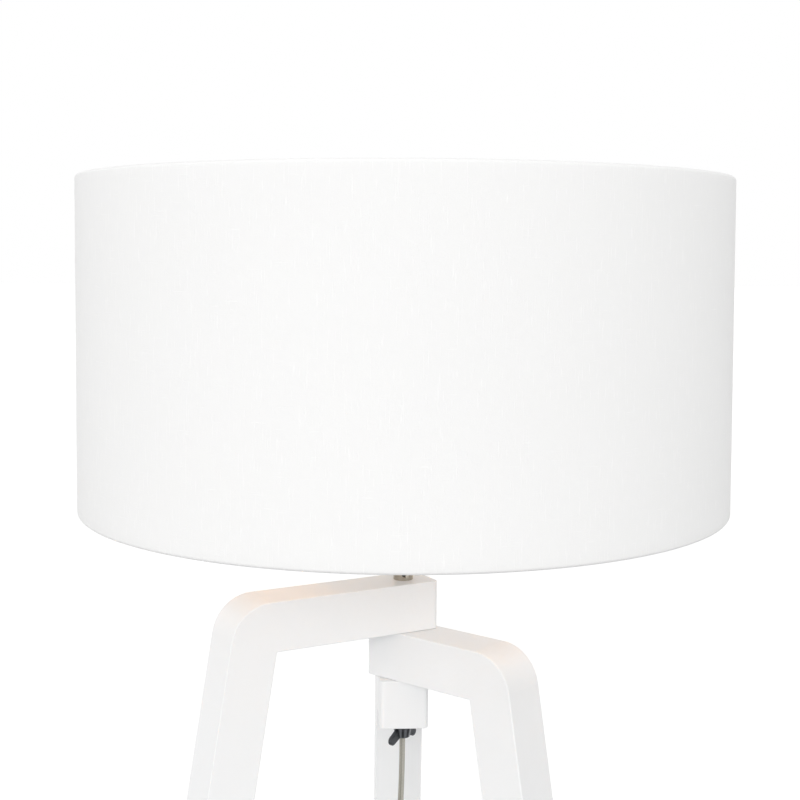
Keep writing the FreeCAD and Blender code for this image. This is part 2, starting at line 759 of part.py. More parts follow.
def strain_relief(start, level):
    """Tapered sleeve with grip grooves, built along +X from a housing's end face."""
    base = V(start, 0, level)
    along = V(1, 0, 0)
    cone = Part.makeCone(sleeve_big_radius, sleeve_small_radius, sleeve_length, base, along)
    grooves = []
    for k in range(1, sleeve_groove_count + 1):
        part = k / (sleeve_groove_count + 1)
        here = base + along * (sleeve_length * part)
        outside = sleeve_big_radius + (sleeve_small_radius - sleeve_big_radius) * part
        band = Part.makeCylinder(outside + past, sleeve_groove_width, here, along)
        core = Part.makeCylinder(outside - sleeve_groove_depth, sleeve_groove_width, here, along)
        grooves.append(band.cut(core))
    return cone.cut(grooves)


# ---------------------------------------------------------------- foot switch
screw_reach = (switch_size[0] / 2 - housing_screw_place[0], switch_size[1] / 2 - housing_screw_place[1])
screw_places = [(-screw_reach[0], screw_reach[1]), (screw_reach[0], -screw_reach[1])]
screw_top = switch_base_height + housing_screw_depth
head_high = housing_head_inset + housing_head_height
button_crown = switch_size[2] + switch_button_proud
button_low = button_crown - switch_button_height


def switch_slab(inset, low, high):
    """Rounded slab of the switch's outline, drawn in by an inset."""
    slab = block((switch_size[0] - 2 * inset, switch_size[1] - 2 * inset, high - low), (0, 0), low)
    return slab.makeFillet(switch_corner - inset, upright_edges(slab))


def switch_base():
    """Lower shell, with a post for the spring and sunk holes for the housing screws."""
    base = switch_slab(0, 0, switch_base_height)
    base = base.makeChamfer(switch_chamfer, edges_at(base, 0))
    base = base.cut(switch_slab(switch_wall, switch_wall, switch_base_height + past))
    base = base.fuse(cylinder(spring_post_radius, switch_wall, switch_wall + spring_post_height))
    for place in screw_places:
        sink = cylinder(housing_screw_radius + housing_head_rim + seat_gap, -past, head_high, *place)
        hole = cylinder(housing_screw_radius + seat_gap, 0, switch_base_height, *place)
        base = base.cut([sink, hole])
    return base.removeSplitter()


def switch_cover():
    """Upper shell, with the button's hole, a screw boss at two corners and the lead's two entries."""
    top = switch_size[2]
    cover = switch_slab(0, switch_base_height, top)
    cover = cover.makeFillet(switch_round, edges_at(cover, top))
    cover = cover.cut(switch_slab(switch_wall, switch_base_height - past, top - switch_wall))
    cover = cover.cut(cylinder(switch_button_radius + button_gap, switch_base_height, top + past))
    for place in screw_places:
        boss = cylinder(housing_screw_radius + boss_wall, switch_base_height, top - switch_wall, *place)
        boss = boss.cut(cylinder(housing_screw_radius + seat_gap, 0, screw_top + seat_gap, *place))
        cover = cover.fuse(boss)
    entry = Part.makeCylinder(cord_width / 2 + seat_gap, 2 * switch_size[0],
                              V(-switch_size[0], 0, switch_cord_level), V(1, 0, 0))
    return cover.cut(entry).removeSplitter()


def switch_button():
    """Round foot button, held under the cover by its flange."""
    button = cylinder(switch_button_radius, button_low, button_crown)
    button = button.makeFillet(switch_button_round, edges_at(button, button_crown))
    flange_high = switch_size[2] - switch_wall - stack_gap
    flange_radius = switch_button_radius + switch_flange_rim
    flange = cylinder(flange_radius, flange_high - switch_flange_thickness, flange_high)
    return button.fuse(flange).removeSplitter()


def switch_contacts():
    """Two brass strips on the base, each with a terminal post, one for each side of the lead."""
    strips = []
    for side in (-1, 1):
        strip = block(contact_size, (side * contact_middle, side * contact_offset), switch_wall)
        post = block(contact_post, (side * contact_post_middle, side * contact_offset), switch_wall)
        strips.append(strip.fuse(post).removeSplitter())
    return strips


def switch_terminal_screws():
    """A screw on each terminal post."""
    low = switch_wall + contact_post[2]
    return [cylinder(contact_screw_radius, low, low + contact_screw_height,
                     side * contact_post_middle, side * contact_offset) for side in (-1, 1)]


def switch_housing_screws():
    """Two screws that come up through the base into the cover's bosses."""
    screws = []
    for place in screw_places:
        head = cylinder(housing_screw_radius + housing_head_rim, housing_head_inset, head_high, *place)
        shank = cylinder(housing_screw_radius, head_high, screw_top, *place)
        screws.append(head.fuse(shank).removeSplitter())
    return screws


def switch_pieces():
    """Foot switch on the lead, laid at its place."""
    sleeve = strain_relief(switch_size[0] / 2, switch_cord_level)
    spring = pipe(spring_radius, spring_radius - spring_wire, switch_wall + stack_gap, button_low - stack_gap)
    pieces = {"switch_base": switch_base(), "switch_cover": switch_cover(), "switch_button": switch_button(),
              "switch_spring": spring, "switch_contacts": Part.makeCompound(switch_contacts()),
              "switch_terminal_screws": Part.makeCompound(switch_terminal_screws()),
              "switch_housing_screws": Part.makeCompound(switch_housing_screws()),
              "switch_sleeve_in": about_axis(sleeve, 180), "switch_sleeve_out": sleeve}
    return {name: laid(shape, *switch_place, 0) for name, shape in pieces.items()}


# ---------------------------------------------------------------- plug
def plug_body():
    """Moulded body on its broad side, wide at the pins and drawn in towards the lead."""
    nose = plug_length / 2
    half = plug_width / 2
    back = sleeve_big_radius + plug_back_rim
    outline = [V(nose, -half, 0), V(nose, half, 0), V(nose - plug_shoulder, half, 0), V(-nose, back, 0),
               V(-nose, -back, 0), V(nose - plug_shoulder, -half, 0)]
    radii = [plug_corner, plug_corner, plug_shoulder_round, plug_corner, plug_corner, plug_shoulder_round]
    body = Part.Face(rounded_wire(outline, radii, True)).extrude(UP * plug_thickness)
    rims = edges_at(body, 0) + edges_at(body, plug_thickness)
    body = body.makeFillet(plug_edge_round, [edge for edge in rims if edge.CenterOfMass.x < nose - near])
    along = V(1, 0, 0)
    for foot in pin_feet():
        root = foot - along * pin_root
        body = body.cut(Part.makeCylinder(pin_root_radius + seat_gap, pin_root + past, root, along))
    return body


def pin_feet():
    """Where the two pins leave the body's front face."""
    return [V(plug_length / 2, side * pin_spacing / 2, plug_cord_level) for side in (-1, 1)]


def plug_pins():
    """Two round pins, thinner where their sleeves are."""
    pins = []
    along = V(1, 0, 0)
    waist = pin_radius - pin_sleeve_wall
    for foot in pin_feet():
        pin = Part.makeCylinder(pin_radius, pin_length, foot, along)
        end = foot.x + pin_length
        pin = pin.makeFillet(pin_tip_round, [edge for edge in pin.Edges if edge.BoundBox.XMin > end - near])
        pin = pin.fuse(Part.makeCylinder(pin_root_radius, pin_root, foot - along * pin_root, along))
        band = Part.makeCylinder(pin_radius + past, pin_sleeve_length, foot, along)
        pins.append(pin.cut(band.cut(Part.makeCylinder(waist, pin_sleeve_length, foot, along))))
    return pins


def plug_pin_sleeves():
    """Insulating sleeve round the first stretch of each pin."""
    sleeves = []
    along = V(1, 0, 0)
    bore = pin_radius - pin_sleeve_wall + seat_gap / 2
    for foot in pin_feet():
        band = Part.makeCylinder(pin_radius, pin_sleeve_length, foot, along)
        sleeves.append(band.cut(Part.makeCylinder(bore, pin_sleeve_length, foot, along)))
    return sleeves


def plug_pieces():
    """Plug at the lead's end, laid at its place with its pins along -Y."""
    relief = about_axis(strain_relief(plug_length / 2, plug_cord_level), 180)
    pieces = {"plug_body": plug_body(), "plug_pins": Part.makeCompound(plug_pins()),
              "plug_pin_sleeves": Part.makeCompound(plug_pin_sleeves()), "plug_strain_relief": relief}
    return {name: laid(shape, *plug_place, -90) for name, shape in pieces.items()}


# ---------------------------------------------------------------- assembly
lamp = {}
for leg_name in stack_order:
    lamp["leg_" + leg_name] = leg(leg_name)
    lamp["glide_" + leg_name] = glide(leg_name)

lamp["threaded_tube"] = pipe(tube_radius, tube_bore_radius, tube_end, tube_top)
lamp["washer"] = pipe(tube_radius + washer_rim, tube_radius + running_gap, nut_top, washer_top)
lamp["wing_nut"] = wing_nut()
lamp["tube_bush"] = tube_bush()
lamp["stem"] = pipe(stem_radius, tube_radius + stem_gap, arm_top, holder_base)

lamp["holder_cap"] = holder_cap()
lamp["tube_locknut"] = tube_locknut()
lamp["cord_grip"] = cord_grip()
lamp["cord_grip_screws"] = Part.makeCompound(grip_screws())
lamp["core_wires"] = Part.makeCompound(core_wires())
lamp["terminal_screws"] = Part.makeCompound(terminal_screws())
lamp["holder_core"] = holder_core()
lamp["centre_contact"] = centre_contact()
lamp["screw_shell"] = pipe(shell_radius, shell_radius - shell_wall, core_recess, core_recess + shell_height)
lamp["holder_skirt"] = holder_skirt()
lamp["lower_shade_ring"] = ring_nut(fitter_bottom - stack_gap - ring_nut_height)
lamp["upper_shade_ring"] = ring_nut(fitter_bottom + fitter_thickness + stack_gap)
lamp["cord_inside"] = cylinder(cord_width / 2, cord_exit, cord_top)
lamp["bulb_glass"] = bulb_envelope(0).cut(bulb_envelope(bulb_wall))
lamp["bulb_glass_mount"] = glass_mount()
lamp["bulb_filament"] = filament()
lamp["bulb_screw_cap"] = bulb_screw_cap()
lamp["bulb_insulator"] = bulb_insulator()
lamp["bulb_tip_contact"] = bulb_tip_contact()

lamp["shade_lower_frame"] = shade_lower_frame()
lamp["shade_upper_ring"] = wire_ring(overall_height - ring_level)
lamp["shade_liner"] = shade_liner()
lamp["shade_fabric"] = shade_fabric()

lead = {"cord_hanging": cord_tube("cord_hanging", hanging_route),
        "cord_floor": cord_tube("cord_floor", floor_route),
        "cord_coil": cord_coil(),
        "coil_tie": coil_tie(),
        "cord_tail": cord_tube("cord_tail", tail_route)}
lead.update(switch_pieces())
lead.update(plug_pieces())

box = Part.makeCompound(list(lamp.values())).optimalBoundingBox(False, False)
to_origin = V(-(box.XMin + box.XMax) / 2, -(box.YMin + box.YMax) / 2, 0)
print("lamp axis", round(to_origin.x, 4), round(to_origin.y, 4))
levels = {"washer_top": washer_top, "nut_top": nut_top, "nut_end": nut_end, "tube_end": tube_end,
          "cord_exit": cord_exit, "bulb_tip": bulb_tip, "fitter_bottom": fitter_bottom}
print("levels", {name: round(level, 3) for name, level in levels.items()})
for leg_name in stack_order:
    print("foot", leg_name, round(foot_middle(leg_name), 3))

for node, shape in {**lamp, **lead}.items():
    placed = shape.copy()
    placed.translate(to_origin)
    placed.exportStep("parts/" + node + ".step")
    print(node, "solids", len(placed.Solids), "valid", placed.isValid(), "volume", round(placed.Volume, 1))
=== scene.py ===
"""Looks of the tripod floor lamp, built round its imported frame: white painted legs of square bar, glued up
to an L, a drum shade of pale linen, a nickel stem, and a clear twin lead with a foot switch and a plug."""
import math
import bpy
import numpy as np
from mathutils import Matrix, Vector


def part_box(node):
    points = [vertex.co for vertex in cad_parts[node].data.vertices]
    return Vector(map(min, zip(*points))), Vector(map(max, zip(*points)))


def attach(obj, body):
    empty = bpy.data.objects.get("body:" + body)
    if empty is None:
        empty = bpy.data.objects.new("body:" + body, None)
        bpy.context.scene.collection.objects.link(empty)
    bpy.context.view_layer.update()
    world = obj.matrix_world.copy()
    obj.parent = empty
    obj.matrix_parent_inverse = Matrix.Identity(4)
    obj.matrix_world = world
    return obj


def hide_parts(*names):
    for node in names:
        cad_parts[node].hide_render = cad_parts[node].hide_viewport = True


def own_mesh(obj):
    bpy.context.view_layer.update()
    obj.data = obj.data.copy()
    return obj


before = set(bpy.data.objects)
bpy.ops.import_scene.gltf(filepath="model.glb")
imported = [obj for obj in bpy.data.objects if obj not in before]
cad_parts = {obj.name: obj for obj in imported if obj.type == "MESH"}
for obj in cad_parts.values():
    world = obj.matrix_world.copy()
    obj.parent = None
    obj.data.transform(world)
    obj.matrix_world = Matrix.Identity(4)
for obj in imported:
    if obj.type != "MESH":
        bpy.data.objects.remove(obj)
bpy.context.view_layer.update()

# ---------------------------------------------------------------- camera
# The lamp is seen from straight in front, a little above its arms and looking slightly down.
# Distances are measured from the lamp's upright axis, which is the middle of the stem.
stem_low, stem_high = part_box("stem")
axis_x = (stem_low.x + stem_high.x) / 2
axis_y = (stem_low.y + stem_high.y) / 2
arm_top = stem_low.z
eye_distance = 1.0565
eye_above_arm = 0.2554
focal_share = 1.70                # focal length over the sensor's width
look_right, look_down, roll = (math.radians(turn) for turn in (-0.17, 6.11, 0.27))

lens = bpy.data.cameras.new("camera")
lens.sensor_width = 36.0
lens.lens = focal_share * lens.sensor_width
camera = bpy.data.objects.new("camera", lens)
bpy.context.scene.collection.objects.link(camera)
camera.location = (axis_x, axis_y - eye_distance, arm_top + eye_above_arm)
camera.rotation_euler = (Matrix.Rotation(-look_right, 3, "Z")
                         @ Matrix.Rotation(math.pi / 2 - look_down, 3, "X")
                         @ Matrix.Rotation(roll, 3, "Z")).to_euler()
bpy.context.scene.camera = camera


# ---------------------------------------------------------------- legs
# Each leg is a square bar of solid wood, glued up to an L at its mitred bend, sanded and sprayed with
# a white satin lacquer. Their arms are stacked on the tube, so each leg can swing round it.
class Wire:
    """One socket of a set of nodes. Arithmetic on wires and numbers adds Math nodes."""

    def __init__(self, nodes, socket):
        self.nodes = nodes
        self.socket = socket

    def maths(self, operation, *others):
        """A Math node with this wire in its first socket."""
        return self.nodes.node("ShaderNodeMath", {"operation": operation}, dict(enumerate([self, *others])))

    def __add__(self, other):
        return self.maths("ADD", other)

    def __sub__(self, other):
        return self.maths("SUBTRACT", other)

    def __rsub__(self, other):
        return self.maths("MULTIPLY_ADD", -1, other)

    def __mul__(self, other):
        return self.maths("MULTIPLY", other)

    __radd__ = __add__
    __rmul__ = __mul__


class Nodes:
    """The nodes of a finish or of the room."""

    def __init__(self, tree):
        self.tree = tree

    def node(self, kind, settings, inputs, output=0):
        """Any node: its settings first, then numbers or wires for its sockets. Gives one output's wire."""
        made = self.tree.nodes.new(kind)
        for setting, value in settings.items():
            setattr(made, setting, value)
        for socket, value in inputs.items():
            self.set(made.inputs[socket], value)
        return Wire(self, made.outputs[output])

    def set(self, socket, value):
        """Gives a socket a number or a wire."""
        if isinstance(value, Wire):
            self.tree.links.new(value.socket, socket)
        else:
            socket.default_value = value


class Finish(Nodes):
    """A material in the making: its nodes, and the shader that they feed."""

    def __init__(self, name, constants):
        self.material = bpy.data.materials.new(name)
        self.material.use_nodes = True
        super().__init__(self.material.node_tree)
        self.shader = self.tree.nodes["Principled BSDF"]
        for socket, value in constants.items():
            self.shader.inputs[socket].default_value = value

    def noise(self, scale, stretch=(1, 1, 1), detail=2.0, place=None):
        """Noise of a number of blotches per metre, finer or coarser along each axis by its stretch."""
        place = place or self.node("ShaderNodeTexCoord", {}, {}, "Object")
        place = self.node("ShaderNodeMapping", {}, {"Vector": place, "Scale": stretch})
        return self.node("ShaderNodeTexNoise", {}, {"Vector": place, "Scale": scale, "Detail": detail})

    def colour(self, low, high, share):
        """A colour between two colours."""
        return self.node("ShaderNodeMix", {"data_type": "RGBA"}, {0: share, 6: (*low, 1), 7: (*high, 1)}, 2)

    def bump(self, height, depth):
        """Feeds a relief of a depth in metres to the shader's normal."""
        normal = self.node("ShaderNodeBump", {}, {"Height": height, "Distance": depth})
        self.set(self.shader.inputs["Normal"], normal)

    def feed(self, socket, value):
        self.set(self.shader.inputs[socket], value)


def dress(names, finish):
    """Gives carried-over pieces their finish."""
    for name in names:
        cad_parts[name].material_slots[0].material = finish.material


lacquer = Finish("white_satin_lacquer", {"Coat Weight": 0.4, "Coat Roughness": 0.14})
orange_peel = lacquer.noise(420, detail=1)
sanding = lacquer.noise(34, detail=3)
lacquer.feed("Base Color", lacquer.colour((0.898, 0.903, 0.907), (0.918, 0.923, 0.927), sanding))
lacquer.feed("Roughness", 0.36 + 0.14 * sanding)
lacquer.bump(orange_peel + 2.0 * sanding, 0.00006)
dress(["leg_left", "leg_right", "leg_rear"], lacquer)

# ---------------------------------------------------------------- glides
# A pressed grey nylon glide stands under each leg, on a pin driven up into the end of the wood.
nylon = Finish("glide_nylon", {"Roughness": 0.55})
scuffs = nylon.noise(160, detail=4)
nylon.feed("Base Color", nylon.colour((0.68, 0.68, 0.66), (0.80, 0.80, 0.78), scuffs))
nylon.bump(scuffs, 0.00005)
dress(["glide_left", "glide_right", "glide_rear"], nylon)


# ---------------------------------------------------------------- threaded tube
# One hollow steel tube with a fine thread over its whole length holds the three arms together. It is
# zinc plated, and only its lower end ever shows, when the wing nut is slackened.
def grid_mesh(name, grid, finish, close_rows=False, cap_ends=False, sharp=40):
    """A piece from a grid of points: four neighbouring points make a face, and the last column joins the
    first. Rows run along and columns run anticlockwise about them, so the faces point outwards."""
    rows, columns = grid.shape[:2]
    points = grid.reshape(-1, 3)
    index = np.arange(rows * columns).reshape(rows, columns)
    index = np.hstack([index, index[:, :1]])
    if close_rows:
        index = np.vstack([index, index[:1]])
    corners = [index[:-1, :-1], index[:-1, 1:], index[1:, 1:], index[1:, :-1]]
    faces = np.stack(corners, -1).reshape(-1, 4).tolist()
    if cap_ends:
        points = np.vstack([points, grid[0].mean(0), grid[-1].mean(0)])
        low, high = rows * columns, rows * columns + 1
        faces += [[low, b, a] for a, b in zip(index[0, :-1], index[0, 1:])]
        faces += [[high, a, b] for a, b in zip(index[-1, :-1], index[-1, 1:])]
    mesh = bpy.data.meshes.new(name)
    mesh.from_pydata(points, [], faces)
    mesh.shade_smooth()
    mesh.set_sharp_from_angle(angle=math.radians(sharp))
    mesh.materials.append(finish.material)
    piece = bpy.data.objects.new(name, mesh)
    bpy.context.scene.collection.objects.link(piece)
    return piece


def threaded_sleeve(name, radius, bore, low, high, pitch, depth, finish, around=48, samples=8, plain=0.0):
    """A sleeve with a thread outside. The radius falls from the crest by depth times half of one less the
    cosine of the turn along the thread, which runs round once while it rises by a pitch. The thread fades
    out over one pitch at each end, and a plain length may follow above it. The bore is smooth."""
    rows = max(4, int((high - low) / pitch * samples))
    level = np.linspace(low, high, rows)[:, None]
    turn = np.linspace(0, 2 * math.pi, around, endpoint=False)[None, :]
    valley = 0.5 - 0.5 * np.cos(2 * math.pi * (level / pitch) - turn)
    inside = np.clip(np.minimum(level - low, high - plain - level) / pitch, 0, 1)
    root = np.where(level > high - plain, 0.0, 1.0)
    outer = radius - depth * root * (1 - inside * (1 - valley))
    level = np.broadcast_to(level, outer.shape)
    profile_radius = np.vstack([outer, np.full((2, around), bore)])
    profile_level = np.vstack([level, np.full((1, around), high), np.full((1, around), low)])
    grid = np.stack([axis_x + profile_radius * np.cos(turn), axis_y + profile_radius * np.sin(turn),
                     profile_level], -1)
    return grid_mesh(name, grid, finish, close_rows=True, sharp=55)


zinc = Finish("zinc_plated_steel", {"Metallic": 1.0})
tarnish = zinc.noise(240, detail=3)
zinc.feed("Base Color", zinc.colour((0.50, 0.51, 0.53), (0.66, 0.67, 0.69), tarnish))
zinc.feed("Roughness", 0.26 + 0.2 * tarnish)
zinc.bump(zinc.noise(1500, detail=1), 0.00002)

tube_low, tube_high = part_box("threaded_tube")
tube_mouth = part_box("tube_bush")[0].z
tube_radius, tube_bore = 0.0050, 0.0040
tube_pitch, tube_thread_depth = 0.0010, 0.0005
thread = threaded_sleeve("tube_thread", tube_radius, tube_bore, tube_low.z, tube_high.z, tube_pitch,
                         tube_thread_depth, zinc, around=24, samples=5)
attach(thread, "stand")
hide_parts("threaded_tube")
dress(["washer", "tube_locknut", "cord_grip_screws", "terminal_screws", "switch_terminal_screws",
       "switch_housing_screws"], zinc)

# ---------------------------------------------------------------- wing nut
# Forged wing nut under the lowest arm, dark plated, with a smooth turned collar. Its two ears slant down,
# away from the arm.
dark = Finish("dark_plated_steel", {"Metallic": 1.0})
forging = dark.noise(380, detail=3)
dark.feed("Base Color", dark.colour((0.10, 0.105, 0.115), (0.20, 0.21, 0.225), forging))
dark.feed("Roughness", 0.22 + 0.18 * forging)
dark.bump(forging, 0.00008)
dress(["wing_nut"], dark)

# A clear moulded bush lines the mouth of the tube, so that its edge can't cut the lead.
bush = Finish("clear_bush", {"Roughness": 0.2, "Coat Weight": 0.5})
bush.feed("Base Color", bush.colour((0.60, 0.60, 0.57), (0.72, 0.72, 0.69), bush.noise(300)))
dress(["tube_bush", "cord_grip"], bush)

# ---------------------------------------------------------------- stem
# Polished nickel sleeve over the tube, between the top arm and the lampholder.
nickel = Finish("polished_nickel", {"Metallic": 1.0})
fine_lines = nickel.noise(900, stretch=(0.05, 0.05, 4), detail=2)
nickel.feed("Base Color", nickel.colour((0.46, 0.415, 0.345), (0.56, 0.515, 0.445), fine_lines))
nickel.feed("Roughness", 0.07 + 0.05 * fine_lines)
nickel.bump(fine_lines, 0.000006)
dress(["stem"], nickel)

# ---------------------------------------------------------------- lampholder
# White moulded cup and threaded sleeve round a ceramic core. Two ribbed rings on the sleeve clamp the shade.
moulded = Finish("white_holder_plastic", {"Coat Weight": 0.3, "Coat Roughness": 0.15})
flow = moulded.noise(60, detail=2)
moulded.feed("Base Color", moulded.colour((0.86, 0.86, 0.845), (0.90, 0.90, 0.885), flow))
moulded.feed("Roughness", 0.28 + 0.1 * flow)
moulded.bump(moulded.noise(1200, detail=1), 0.00001)
dress(["holder_cap", "lower_shade_ring", "upper_shade_ring"], moulded)

skirt_low, skirt_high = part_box("holder_skirt")
skirt_radius = (skirt_high.x - skirt_low.x) / 2
skirt_wall = 0.0030
skirt_pitch, skirt_thread_depth = 0.0025, 0.0007
skirt = threaded_sleeve("holder_skirt_thread", skirt_radius, skirt_radius - skirt_wall, skirt_low.z,
                        skirt_high.z, skirt_pitch, skirt_thread_depth, moulded, around=96, samples=10)
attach(skirt, "stand")
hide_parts("holder_skirt")

ceramic = Finish("unglazed_ceramic", {"Roughness": 0.7})
grain = ceramic.noise(900, detail=3)
ceramic.feed("Base Color", ceramic.colour((0.80, 0.78, 0.73), (0.88, 0.865, 0.82), grain))
ceramic.bump(grain, 0.00003)
dress(["holder_core"], ceramic)

brass = Finish("bare_brass", {"Metallic": 1.0})
handling = brass.noise(220, detail=4)
brass.feed("Base Color", brass.colour((0.62, 0.46, 0.20), (0.80, 0.64, 0.34), handling))
brass.feed("Roughness", 0.25 + 0.2 * handling)
dress(["screw_shell", "centre_contact", "switch_contacts", "plug_pins"], brass)

copper = Finish("stranded_copper", {"Metallic": 1.0, "Roughness": 0.35})
strands = copper.noise(2400, stretch=(1, 1, 0.1))
copper.feed("Base Color", copper.colour((0.48, 0.22, 0.12), (0.80, 0.46, 0.30), strands))
copper.bump(strands, 0.00005)
dress(["core_wires"], copper)

# ---------------------------------------------------------------- bulb
# Clear blown bulb on a flared glass mount, with a glowing wire across its top and a rolled screw cap below.
glass = Finish("clear_glass", {"Base Color": (0.985, 0.98, 0.97, 1), "Transmission Weight": 1.0, "IOR": 1.45})
glass.feed("Roughness", 0.01 + 0.02 * glass.noise(60))
dress(["bulb_glass", "bulb_glass_mount"], glass)
for blown in ("bulb_glass", "bulb_glass_mount"):
    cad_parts[blown].visible_shadow = False

glowing = Finish("glowing_wire", {"Base Color": (0.9, 0.7, 0.4, 1), "Emission Strength": 12.0})
glowing.feed("Emission Color", glowing.colour((1.0, 0.50, 0.18), (1.0, 0.66, 0.34), glowing.noise(900)))
dress(["bulb_filament"], glowing)

cap_metal = Finish("bulb_cap_metal", {"Metallic": 1.0})
rolling = cap_metal.noise(300, detail=3)
cap_metal.feed("Base Color", cap_metal.colour((0.62, 0.61, 0.58), (0.76, 0.75, 0.72), rolling))
cap_metal.feed("Roughness", 0.22 + 0.14 * rolling)
dress(["bulb_tip_contact"], cap_metal)
cap_low, cap_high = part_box("bulb_screw_cap")
cap_radius = (cap_high.x - cap_low.x) / 2
cap_wall, cap_rim = 0.0011, 0.004
cap_pitch, cap_thread_depth = 0.00363, 0.0007
screw_cap = threaded_sleeve("bulb_cap_thread", cap_radius, cap_radius - cap_wall, cap_low.z, cap_high.z,
                            cap_pitch, cap_thread_depth, cap_metal, around=96, samples=14, plain=cap_rim)
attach(screw_cap, "bulb")
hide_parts("bulb_screw_cap")

vitrite = Finish("black_glass_insulator", {"Roughness": 0.12})
vitrite.feed("Base Color", vitrite.colour((0.015, 0.012, 0.02), (0.035, 0.03, 0.04), vitrite.noise(500)))
dress(["bulb_insulator"], vitrite)

# ---------------------------------------------------------------- shade frame
# Two rings of round wire, the lower one welded to three spokes and a flat fitter, all coated white.
coated = Finish("white_coated_wire", {"Coat Weight": 0.2, "Coat Roughness": 0.25})
runs = coated.noise(140, detail=2)
coated.feed("Base Color", coated.colour((0.86, 0.86, 0.85), (0.90, 0.90, 0.89), runs))
coated.feed("Roughness", 0.35 + 0.15 * runs)
coated.bump(coated.noise(900, detail=1), 0.00004)
dress(["shade_lower_frame", "shade_upper_ring"], coated)

# Stiff white plastic sheet, bent round and glued, which the cloth is bonded to.
sheet_plastic = Finish("shade_liner_sheet", {})
calender = sheet_plastic.noise(90, stretch=(1, 1, 0.2), detail=2)
sheet_plastic.feed("Base Color", sheet_plastic.colour((0.90, 0.90, 0.89), (0.935, 0.935, 0.925), calender))
sheet_plastic.feed("Roughness", 0.42 + 0.12 * calender)
sheet_plastic.bump(sheet_plastic.noise(2200, detail=1), 0.00001)
dress(["shade_liner"], sheet_plastic)

# ---------------------------------------------------------------- shade cloth
# Off-white slub linen in one strip, lapped and glued at the back, and rolled over the wire at each edge.
cloth_low, cloth_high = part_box("shade_fabric")
shade_foot = cloth_low.z
shade_top = cloth_high.z
foot_radius = (cloth_high.x - cloth_low.x) / 2
top_radius = foot_radius - 0.0030          # the drum is a little narrower at the top
cloth_thickness = 0.0006
roll_radius = 0.0026
hem_height = 0.012
lap_width, lap_rise, lap_edge = 0.012, 0.0004, 0.0022


def cloth_edge(level_sign, radius, level):
    """Half a roll over one wire: points on a circle about the wire, from the outside in."""
    turn = np.linspace(0, math.pi, 13)
    middle = radius - roll_radius
    return np.stack([middle + roll_radius * np.cos(turn),
                     level + level_sign * (roll_radius * np.sin(turn) - roll_radius)], -1)


def cloth_profile():
    """The cloth's outside in radius and height: up the inner hem, over the lower roll, up the wall, over the
    upper roll and down the upper hem."""
    lower = cloth_edge(-1, foot_radius, shade_foot)[::-1]
    upper = cloth_edge(1, top_radius, shade_top)
    inner_low = np.stack([np.full(4, foot_radius - 2 * roll_radius),
                          np.linspace(shade_foot + hem_height, shade_foot + roll_radius, 5)[:-1]], -1)
    inner_high = np.stack([np.full(4, top_radius - 2 * roll_radius),
                           np.linspace(shade_top - roll_radius, shade_top - hem_height, 5)[1:]], -1)
    wall = np.linspace(0, 1, 42)[1:-1, None]
    wall = lower[-1] * (1 - wall) + upper[0] * wall
    return np.vstack([inner_low, lower, wall, upper, inner_high])


def linen_cloth():
    """The profile carried round the lamp's axis and given a thickness inwards. At the back the outside steps
    out by the lap's rise over the lap's width, with a sloping edge on either side."""
    outline = cloth_profile()
    along = np.gradient(outline, axis=0)
    along /= np.linalg.norm(along, axis=1, keepdims=True)
    inside = outline + cloth_thickness * np.stack([-along[:, 1], along[:, 0]], -1)
    loop = np.vstack([outline, inside[::-1]])
    turn = np.linspace(0, 2 * math.pi, 720, endpoint=False)
    from_back = np.abs((turn - math.pi / 2 + math.pi) % (2 * math.pi) - math.pi) * foot_radius
    lap = lap_rise * np.clip((lap_width / 2 - from_back) / lap_edge + 0.5, 0, 1)
    on_outside = np.concatenate([np.ones(len(outline)), np.zeros(len(outline))])
    radius = loop[:, :1] + on_outside[:, None] * lap[None, :]
    grid = np.stack([axis_x + radius * np.cos(turn), axis_y + radius * np.sin(turn),
                     np.broadcast_to(loop[:, 1:], radius.shape)], -1)
    return grid_mesh("shade_linen", grid, linen, close_rows=True, sharp=60)


linen = Finish("slub_linen", {"Roughness": 0.92, "Sheen Weight": 0.15, "Specular IOR Level": 0.25})
on_cloth = linen.node("ShaderNodeTexCoord", {}, {}, "Object")
warp_slubs = linen.noise(1.0, stretch=(1100, 1100, 70), detail=1, place=on_cloth)
weft_slubs = linen.noise(1.0, stretch=(60, 60, 1250), detail=1, place=on_cloth)
threads = linen.noise(1.0, stretch=(2400, 2400, 2400), detail=0, place=on_cloth)
clouds = linen.noise(9, detail=2, place=on_cloth)
thick_thread = warp_slubs.maths("MAXIMUM", weft_slubs * 0.91)
slub = linen.node("ShaderNodeMapRange", {"interpolation_type": "SMOOTHSTEP"},
                  {"Value": thick_thread, "From Min": 0.60, "From Max": 0.74})
plain = linen.colour((0.885, 0.884, 0.879), (0.914, 0.913, 0.910), 0.5 * threads + 0.5 * clouds)
linen.feed("Base Color", linen.node("ShaderNodeMix", {"data_type": "RGBA"},
                                    {0: slub, 6: plain, 7: (0.935, 0.934, 0.93, 1)}, 2))
linen.bump(threads + 0.8 * slub, 0.00008)
shade_linen = linen_cloth()
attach(shade_linen, "shade")
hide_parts("shade_fabric")

# ---------------------------------------------------------------- lead
# A flat twin lead in clear plastic: two stranded, tinned cores side by side under one skin. It hangs from
# the mouth of the tube, turning slowly, runs along the floor to the foot switch, and on into a tied coil.
lead_width = 0.0052
lead_exit = tube_mouth
core_offset, core_half = 0.00118, 0.00142
waist = 0.62                                    # of core_half, between the two cores
flat_faces = np.array([0.665, 0.747, 0.0])      # where the upright lead's flat side looks, before it turns


